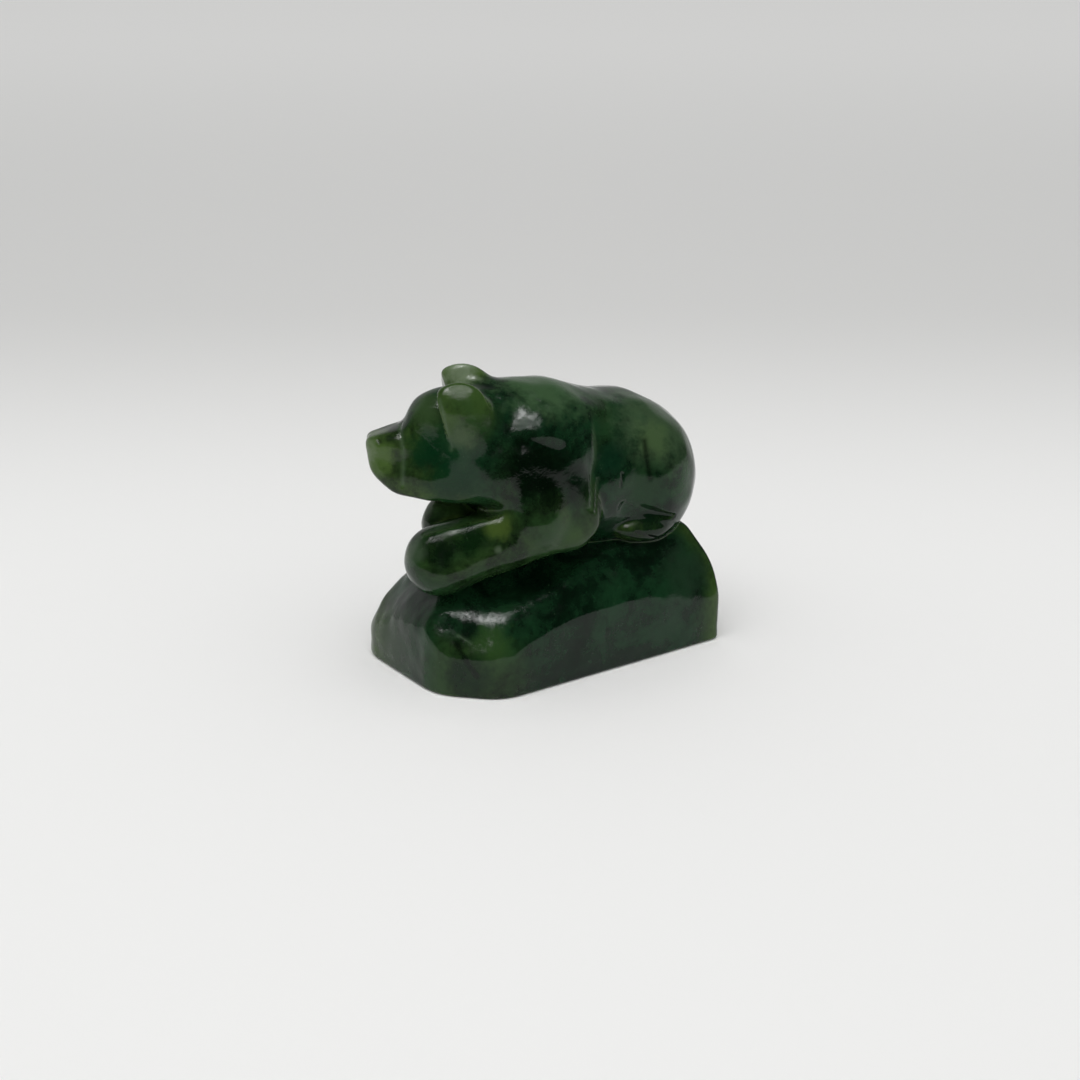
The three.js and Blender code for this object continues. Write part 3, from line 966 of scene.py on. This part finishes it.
@dataclass(frozen=True)
class JadeFinish:
    """Polished nephrite: dark cloudy green with a painted glow where it is thin, clouds of painted shade,
    glow, highlight and reflection among its own mottling, and a waxy and uneven polish.
    """

    deep: Triple = (0.0012, 0.0065, 0.0026)
    green: Triple = (0.0065, 0.031, 0.0115)
    # Painted glow where the stone is thin.
    painted_thin_glow: Triple = (0.045, 0.085, 0.017)
    dust: Triple = (0.09, 0.14, 0.08)
    streak: Triple = (0.0006, 0.002, 0.001)
    dust_share: float = 0.35
    streak_share: float = 0.8
    roughness: float = 0.07
    ior: float = 1.35
    # Clouds of the stone's own colour mixed with clouds of painted shade, glow, highlight and reflection,
    # each marked below.
    own_and_painted_clouds: Sequence[Patch] = (
        # Painted dark reflection: the near shoulder and upper arm darkened where the polish mirrors the
        # dark room.
        Patch((-9.0, -11.0, 36.0), 8.0, (0.0005, 0.003, 0.0009), 0.95),
        # Painted shade under the jaw, on the top of the near paw and forearm.
        Patch((-24.0, -6.0, 24.0), 3.6, (0.001, 0.006, 0.0016), 0.9),
        Patch((-19.3, -7.5, 25.6), 3.2, (0.0012, 0.01, 0.002), 0.9),
        # Painted reflections of the pale backdrop on the top of the rump and along the top of the back.
        Patch((18.0, -8.0, 39.0), 10.0, (0.043, 0.078, 0.037), 0.75),
        Patch((-2.0, -2.0, 47.0), 8.5, (0.043, 0.088, 0.038), 0.85),
        Patch((-22.0, 1.5, 46.0), 4.0, (0.03, 0.06, 0.02), 0.8),
        Patch((15.0, -10.9, 37.4), 3.6, (0.05, 0.09, 0.034), 0.75),
        Patch((5.8, -11.0, 35.5), 3.4, (0.002, 0.02, 0.009), 0.6),
        Patch((-22.4, 0.1, 39.5), 3.6, (0.002, 0.024, 0.007)),
        Patch((-21.0, -4.1, 35.0), 5.0, (0.0015, 0.022, 0.007)),
        # Painted reflection of the floor, pale olive, on the lower near ear.
        Patch((-18.9, -5.1, 42.4), 2.6, (0.045, 0.075, 0.032)),
        # Painted glow where light shines through the thin far ear.
        Patch((-13.0, 5.0, 50.0), 3.6, (0.15, 0.2, 0.12), 0.95),
        # Painted glow in the thin muzzle, palest at its tip.
        Patch((-28.2, 7.0, 37.4), 4.4, (0.055, 0.1, 0.024), 0.95),
        Patch((-29.3, 8.6, 38.2), 2.6, (0.13, 0.17, 0.1), 0.8),
        # Painted highlights on the near forearm: a yellow one on its top and a soft pale spot below.
        Patch((-15.3, -9.3, 27.4), 2.2, (0.05, 0.085, 0.016)),
        Patch((-16.1, -10.5, 24.0), 0.7, (0.08, 0.11, 0.07), 0.6),
        Patch((-19.4, -12.9, 9.6), 3.6, (0.022, 0.056, 0.013), 0.75),
        # Painted reflection of the floor, grey, low on the front wall.
        Patch((-26.7, 4.9, 4.0), 8.0, (0.03, 0.042, 0.03), 0.6),
        # Painted shade low on the near corner wall, where it mirrors the contact shadow.
        Patch((-22.7, -11.8, 4.2), 4.4, (0.001, 0.011, 0.004), 0.75),
        Patch((-27.2, -2.4, 23.5), 2.4, (0.04, 0.065, 0.036), 0.8),
        Patch((12.0, -12.5, 29.5), 5.0, (0.01, 0.036, 0.012), 0.7),
        Patch((20.5, -13.5, 13.0), 6.0, (0.012, 0.03, 0.015), 0.7),
        Patch((-27.0, 0.5, 21.8), 2.6, (0.06, 0.085, 0.05), 0.8),
        # Painted shade on the hind foot, tucked under the haunch.
        Patch((13.8, -11.2, 22.4), 3.4, (0.002, 0.011, 0.004), 0.85),
        Patch((19.5, -11.5, 29.0), 4.0, (0.012, 0.05, 0.014), 0.7),
    )

    def material(self) -> bpy.types.Material:
        """Builds the material.

        Returns:
            The material, ready to assign.
        """
        material = bpy.data.materials.new("nephrite")
        material.use_nodes = True
        nodes = Nodes(material.node_tree)
        material.node_tree.nodes.clear()
        at = nodes.add("ShaderNodeTexCoord").outputs["Object"]
        at = nodes.add("ShaderNodeVectorMath", {0: at, 3: 1 / MM}, operation="SCALE").outputs[0]
        mask = {name: nodes.add("ShaderNodeAttribute", attribute_name=name).outputs["Fac"]
                for name in ("thin", "pale", "dark")}
        figure = nodes.group(stone_figure(), {
            "At": at, "Thin": mask["thin"], "Deep": (*self.deep, 1), "Green": (*self.green, 1),
            "Painted Thin Glow": (*self.painted_thin_glow, 1),
        })
        colour = figure.outputs["Colour"]
        cloud = stone_cloud()
        for patch in self.own_and_painted_clouds:
            values = {"At": at, "Centre": patch.centre, "Reach": patch.reach, "Strength": patch.strength}
            colour = nodes.blend(nodes.group(cloud, values).outputs["Mask"], colour, (*patch.colour, 1))
        flecks = nodes.group(stone_flecks(), {"At": at})
        colour = nodes.blend(flecks.outputs["Pale"], colour, (*self.dust, 1))
        colour = nodes.blend(flecks.outputs["Dark"], colour, (*self.streak, 1))
        dark = nodes.maths("MULTIPLY", mask["dark"], self.streak_share)
        colour = nodes.blend(dark, colour, (*self.streak, 1))
        pale = nodes.maths("MULTIPLY", mask["pale"], self.dust_share)
        colour = nodes.blend(pale, colour, (*self.dust, 1))
        polish = nodes.group(polish_marks(), {"At": at})
        rough = nodes.maths("ADD", polish.outputs["Roughness"], self.roughness)
        relief = {"Strength": 1.0, "Distance": MM, "Height": polish.outputs["Height"]}
        bump = nodes.add("ShaderNodeBump", relief)
        shader = nodes.add("ShaderNodeBsdfPrincipled", {
            "Base Color": colour, "Roughness": rough, "IOR": self.ior, "Normal": bump.outputs[0],
        })
        nodes.add("ShaderNodeOutputMaterial", {"Surface": shader.outputs[0]})
        return material


@dataclass(frozen=True)
class PaperFinish:
    """The matt pale sheet that the carving stands on, in mm. It has a painted shade in a band behind the
    carving, which clears again further back.
    """

    colour: Triple = (0.86, 0.86, 0.85)
    painted_shade_colour: Triple = (0.66, 0.66, 0.65)
    behind: Triple = (0.54, 0.77, 0.0)
    dims: tuple[float, float] = (30.0, 240.0)
    clears: tuple[float, float] = (240.0, 900.0)
    least: float = 0.4

    def material(self) -> bpy.types.Material:
        """Builds the material.

        Returns:
            The material, ready to assign.
        """
        material = bpy.data.materials.new("paper")
        material.use_nodes = True
        nodes = Nodes(material.node_tree)
        shader = material.node_tree.nodes["Principled BSDF"]
        at = nodes.add("ShaderNodeTexCoord").outputs["Object"]
        behind = nodes.dot(at, tuple(share / MM for share in self.behind))
        clear = nodes.ramp(behind, *self.clears, 1 - self.least)
        # Painted shade: a dimmer band on the sheet behind the carving, clearing further back.
        painted_shade_band = nodes.maths("SUBTRACT", nodes.ramp(behind, *self.dims), clear)
        colour = nodes.blend(painted_shade_band, (*self.colour, 1), (*self.painted_shade_colour, 1))
        material.node_tree.links.new(colour, shader.inputs["Base Color"])
        shader.inputs["Roughness"].default_value = 1.0
        shader.inputs["Specular IOR Level"].default_value = 0.0
        return material


FINISHES = {Finish.JADE: JadeFinish(), Finish.PAPER: PaperFinish()}


@dataclass
class CarvedBear:
    """Builds the carving's fine mesh and dresses it. Its cell and its depths are in mm."""

    name: str = "jade_bear"
    cell: float = 0.37
    room_cells: int = 3
    settle_rounds: int = 3
    depths: Sequence[float] = (3.0, 6.0, 9.0)
    surface: Handwork = field(default_factory=Handwork)

    def build(self) -> bpy.types.Object:
        """Meshes the carving and links it as one object.

        Returns:
            The object, in place in the frame of the CAD.
        """
        room = self.room_cells * self.cell
        low, high = (np.array(corner) / MM for corner in CAD_BOUNDS)
        points, faces = Skin(self.cell).mesh(self.surface.carving, tuple(low - room), tuple(high + room))
        points = settled(self.surface, points, self.settle_rounds, self.cell / 2)
        mesh = bpy.data.meshes.new(self.name)
        mesh.from_pydata((points * MM).tolist(), [], faces.tolist())
        mesh.polygons.foreach_set("use_smooth", np.ones(len(faces), bool))
        normals = slope_of(self.surface, points)
        normals /= np.maximum(np.linalg.norm(normals, axis=1, keepdims=True), TINY)
        masks = {"thin": self.thinness(points, normals)}
        masks |= {mark.value: self.surface.marks(points, mark) for mark in (Mark.PALE, Mark.DARK)}
        for name, values in masks.items():
            mesh.attributes.new(name, "FLOAT", "POINT").data.foreach_set("value", values)
        mesh.normals_split_custom_set_from_vertices(normals.tolist())
        piece = bpy.data.objects.new(self.name, mesh)
        bpy.context.scene.collection.objects.link(piece)
        piece.data.materials.append(FINISHES[Finish.JADE].material())
        LOG.info("%s: %d vertices, %d faces", self.name, len(points), len(faces))
        return piece

    def thinness(self, points: np.ndarray, normals: np.ndarray) -> np.ndarray:
        """Says how thin the stone is.

        The underside rests on the sheet and lets no light in, so it doesn't count as an edge.

        Args:
            points: Points on the surface, in mm.
            normals: The outward direction at each of them.

        Returns:
            0 where the stone under a point is thick, towards 1 at an ear's edge.
        """
        total = np.zeros(len(points))
        for depth in self.depths:
            inner = points - normals * depth
            inner[:, 2] = np.maximum(inner[:, 2], self.depths[-1])
            total += np.clip((depth + self.surface.carving(inner)) / depth, 0, 1)
        return total / len(self.depths)


@dataclass
class Studio:
    """A pale floor under large soft lights, and the camera. Lengths are in mm, directions in degrees."""

    camera_at: Triple = (-184.95, -261.5, 137.6)
    target: Triple = (-18.58, -25.6, 30.78)
    view_angle: float = 30.0
    floor_width: float = 9000.0
    light_from: Triple = (-135.0, -95.0, 600.0)
    key_width: float = 420.0
    key_power: float = 0.95
    softbox_width: float = 405.0
    softbox_power: float = 42.0
    fill: float = 0.78
    dark_room: float = 0.02
    backdrop: float = 0.5
    backdrop_compass: float = 75.0
    backdrop_heights: tuple[float, float] = (26.0, 62.0)
    backdrop_edges: tuple[float, float] = (0.12, 0.7)

    def build(self) -> None:
        """Makes the floor, the lights and the camera."""
        self.floor()
        self.light("key", self.key_width, self.key_power).visible_glossy = False
        self.light("softbox", self.softbox_width, self.softbox_power).visible_diffuse = False
        self.room()
        self.camera()

    def floor(self) -> None:
        """Lays the pale sheet."""
        bpy.ops.mesh.primitive_plane_add(size=self.floor_width * MM)
        floor = bpy.context.object
        floor.name = "floor"
        floor.data.materials.append(FINISHES[Finish.PAPER].material())

    def aimed(self, thing: bpy.types.Object, at: Triple, target: Triple) -> bpy.types.Object:
        """Puts a light or a camera in its place and links it.

        Args:
            thing: The light's or the camera's object.
            at: Where it goes, in mm.
            target: What it is turned to, in mm.

        Returns:
            The same object.
        """
        thing.location = Vector(at) * MM
        thing.rotation_euler = (Vector(target) - Vector(at)).to_track_quat("-Z", "Y").to_euler()
        bpy.context.scene.collection.objects.link(thing)
        return thing

    def light(self, name: str, width: float, power: float) -> bpy.types.Object:
        """Hangs a soft square light over the carving.

        Args:
            name: The light's name.
            width: Its side, in mm.
            power: Its power, in watts.

        Returns:
            The light's object.
        """
        light = bpy.data.lights.new(name, "AREA")
        light.shape = "SQUARE"
        light.size = width * MM
        light.energy = power
        return self.aimed(bpy.data.objects.new(name, light), self.light_from, (0, 0, 0))

    def room(self) -> None:
        """Fills the shadows evenly. The polish mirrors a dark room with a pale backdrop on the far side."""
        world = bpy.data.worlds.new("room")
        world.use_nodes = True
        world.node_tree.nodes.clear()
        nodes = Nodes(world.node_tree)
        ray = nodes.add("ShaderNodeTexCoord").outputs["Generated"]
        height = nodes.add("ShaderNodeSeparateXYZ", {0: ray}).outputs["Z"]
        compass = math.radians(self.backdrop_compass)
        far = (math.cos(compass), math.sin(compass), 0)
        facing = nodes.ramp(nodes.dot(ray, far), *self.backdrop_edges)
        low, high = (math.sin(math.radians(angle)) for angle in self.backdrop_heights)
        pale = nodes.maths("MULTIPLY", nodes.ramp(height, high, low), facing)
        mirrored = nodes.maths("MULTIPLY_ADD", pale, self.backdrop, self.dark_room)
        glossy = nodes.add("ShaderNodeLightPath").outputs["Is Glossy Ray"]
        change = nodes.maths("MULTIPLY", glossy, nodes.maths("SUBTRACT", mirrored, self.fill))
        strength = nodes.maths("ADD", change, self.fill)
        background = nodes.add("ShaderNodeBackground", {"Color": (1, 1, 1, 1), "Strength": strength})
        nodes.add("ShaderNodeOutputWorld", {"Surface": background.outputs[0]})
        bpy.context.scene.world = world

    def camera(self) -> None:
        """Sets the camera up."""
        lens = bpy.data.cameras.new("camera")
        lens.angle = math.radians(self.view_angle)
        lens.clip_start = 0.01
        camera = bpy.data.objects.new("camera", lens)
        self.aimed(camera, self.camera_at, self.target)
        bpy.context.scene.camera = camera
        bpy.context.scene.view_settings.view_transform = "Standard"


def main() -> None:
    """Builds the carving and the studio round it."""
    logging.basicConfig(level=logging.INFO)
    Studio().build()
    bear = CarvedBear().build()
    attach(bear, "root")
    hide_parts(NODE)


if __name__ == "__main__":
    main()
